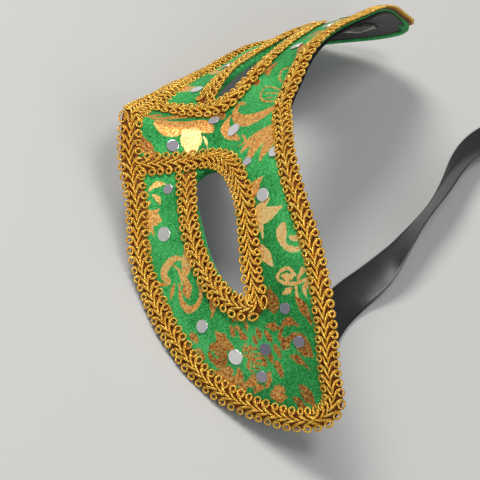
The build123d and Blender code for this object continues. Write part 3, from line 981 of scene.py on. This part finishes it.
def make_sequins(node_name):
    """A group of mirror sequins: thin round discs with softened edges, each set down a little crooked."""
    vertices, faces, painted_reflection = [], [], []
    around = np.linspace(0, 2 * math.pi, SEQUIN_SIDES, endpoint=False)[:, None]
    base = 0
    for side, height, diameter, bright in SEQUINS[node_name]:
        middle = on_face(side, height, VELVET_LIFT + 0.32)
        up = unit(normals(side, height) + rng.normal(0, 0.035, 3))
        right = unit(np.cross(up, (0, 1, 0)))
        over = np.cross(up, right)
        radius = diameter / 2
        under = -SEQUIN_THICKNESS * 0.6
        profile = ((0.01, 0.12), (radius * 0.9, 0.12), (radius * 0.97, 0.08), (radius, 0), (radius, -0.1),
                   (radius * 0.9, under), (0.01, under))
        for reach, rise in profile:
            vertices.append(middle + up * rise + reach * (np.cos(around) * right + np.sin(around) * over))
        index = base + np.arange(len(profile) * SEQUIN_SIDES).reshape(-1, SEQUIN_SIDES)
        faces += closed(index)
        # Each disc's brightness is a painted reflection, carried to its material with its points.
        painted_reflection += [bright] * index.size
        base += index.size
    discs = piece(node_name + "_discs", stand(np.vstack(vertices)), faces, [MIRROR], node_name,
                  smooth=False)
    point_values(discs, "painted_reflection", painted_reflection)


def make_glue(way, name, node_name):
    """An uneven pool of set glue inside the temple on one side, way."""
    angle = np.linspace(0, 2 * math.pi, GLUE_SIDES, endpoint=False)
    lobes = 1 + 0.14 * np.sin(2 * angle + way) + 0.08 * np.sin(5 * angle + 2) + 0.05 * np.sin(9 * angle)
    vertices = []
    for ring in range(GLUE_RINGS):
        share = (ring + 0.02) / (GLUE_RINGS - 1 + 0.02)
        side = way * GLUE_MIDDLE[0] + GLUE_REACH[0] * share * lobes * np.cos(angle)
        height = GLUE_MIDDLE[1] + GLUE_REACH[1] * share * lobes * np.sin(angle)
        ripple = 1 + 0.12 * np.sin(3 * angle + 5 * share)
        thick = GLUE_THICKNESS * np.sqrt(np.clip(1 - share**2.4, 0, 1)) * ripple
        vertices.append(on_face(side, height, -SHELL_THICKNESS - 0.03 - thick))
    faces = closed(np.arange(GLUE_RINGS * GLUE_SIDES).reshape(-1, GLUE_SIDES))
    piece(name, stand(np.vstack(vertices)), faces, [GLUE], node_name)


def tie_line():
    """Points along the NURBS line through the tie's route, in metres."""
    data = bpy.data.curves.new("tie_line", "CURVE")
    data.dimensions = "3D"
    data.resolution_u = 24
    spline = data.splines.new("NURBS")
    spline.points.add(len(TIE_ROUTE) - 1)
    for point, spot in zip(spline.points, TIE_ROUTE):
        point.co = (*[x * MM for x in spot], 1)
    spline.order_u = 3
    spline.use_endpoint_u = True
    guide = add_object("tie_line", data)
    mesh = bpy.data.meshes.new_from_object(guide)
    line = np.array([tuple(v.co) for v in mesh.vertices])
    bpy.data.objects.remove(guide)
    bpy.data.meshes.remove(mesh)
    return evenly(line, 1.2 * MM)


def make_tie():
    """The satin tie: a flat ribbon along its line, which stands on edge for part of its way."""
    line = tie_line()
    share = np.linspace(0, 1, len(line))
    along = unit(np.gradient(line, axis=0))
    turn = np.radians(through(TIE_TURN, share))[:, None]
    level = unit(np.cross(along, (0, 0, 1.0)))
    across = np.cos(turn) * level + np.sin(turn) * np.cross(level, along)
    face = np.cross(across, along)
    columns = np.linspace(-0.5, 0.5, 15)
    curl = TIE_CURL * MM * (4 * columns**2) * np.sin(share * 23)[:, None]
    middle = (line[:, None] + across[:, None] * (columns * TIE_WIDTH * MM)[None, :, None]
              + face[:, None] * curl[:, :, None])
    middle[:, :, 2] = np.maximum(middle[:, :, 2], TIE_LOWEST * MM)
    half = face[:, None] * TIE_THICKNESS / 2 * MM
    ring = np.concatenate([middle + half, (middle - half)[:, ::-1]], axis=1)
    faces = closed(np.arange(ring[..., 0].size).reshape(ring.shape[:2]))
    v = np.concatenate([columns, columns[::-1]]) + 0.5
    uv = np.vstack([quads_uv(share * TIE_LENGTH / MM, v, np.roll(v, -1)), np.zeros((2 * len(v), 2))])
    obj = piece("satin_tie", ring.reshape(-1, 3), faces, [SATIN], "left_tie", uv=uv)


make_shell()
make_velvet()
make_braid("forehead_gimp", rim_line(True, FOREHEAD_OVERHANG), "forehead_braid", 1, (0, 1))
make_braid("lower_gimp", rim_line(False, LOWER_OVERHANG), "lower_braid", -1, (0, 1))
make_braid("left_eye_gimp", curve(EYE_BRAID, 0.5), "left_eye_braid")
make_braid("right_eye_gimp", curve([(-side, height) for side, height in EYE_BRAID], 0.5), "right_eye_braid")
for sequin_node in SEQUINS:
    make_sequins(sequin_node)
make_glue(1, "left_glue_pool", "left_glue")
make_glue(-1, "right_glue_pool", "right_glue")
make_tie()

# ---- floor, light and camera

def make_stage():
    """The floor, which isn't part of the mask."""
    mesh = bpy.data.meshes.new("floor")
    corners = [(x * FLOOR_REACH, y * FLOOR_REACH, 0) for x, y in ((-1, -1), (1, -1), (1, 1), (-1, 1))]
    mesh.from_pydata(corners, [], [(0, 1, 2, 3)])
    material, _, _ = new_material("pale_floor", {"Base Color": (0.55, 0.55, 0.54, 1), "Roughness": 0.5})
    mesh.materials.append(material)
    add_object("floor", mesh)


def make_light(name, location, size, power, colour):
    """A soft square light aimed at the mask."""
    data = bpy.data.lights.new(name, "AREA")
    data.shape = "SQUARE"
    data.size = size
    data.energy = power
    data.color = colour
    light = add_object(name, data)
    light.location = location
    aim = Vector((0, 0, 0.03)) - Vector(location)
    light.rotation_mode = "QUATERNION"
    light.rotation_quaternion = aim.to_track_quat("-Z", "Y")


def make_camera():
    """The camera, which looks down at the mask from its left and is rolled about its line of sight."""
    data = bpy.data.cameras.new("camera")
    data.sensor_width = 36
    data.lens = 197.2
    data.shift_x = -0.096
    data.shift_y = -0.05
    data.clip_start = 0.05
    data.clip_end = 20
    level = Vector((-math.sin(CAMERA_AZIMUTH), math.cos(CAMERA_AZIMUTH), 0))
    back = Vector((level.y, -level.x, math.tan(CAMERA_ELEVATION))).normalized()
    right = level * math.cos(CAMERA_ROLL) + back.cross(level) * math.sin(CAMERA_ROLL)
    axes = Matrix((right, back.cross(right), back)).transposed()
    camera = add_object("camera", data)
    spot = (Vector(LOOK_AT) + back * CAMERA_DISTANCE) * MM
    camera.matrix_world = Matrix.Translation(spot) @ axes.to_4x4()
    bpy.context.scene.camera = camera


make_stage()
make_light("key", (-0.5, -0.7, 1.1), 0.5, 15, (1.0, 0.97, 0.93))
make_light("fill", (0.9, 0.6, 0.9), 0.8, 5, (0.95, 0.98, 1.0))
make_light("top", (0.1, 0.1, 1.4), 0.4, 5, (1.0, 1.0, 1.0))
make_camera()

world = bpy.data.worlds.new("studio")
world.use_nodes = True
background = world.node_tree.nodes["Background"]
background.inputs["Color"].default_value = (0.8, 0.82, 0.85, 1)
background.inputs["Strength"].default_value = 0.22
bpy.context.scene.world = world
bpy.context.scene.view_settings.view_transform = "Standard"
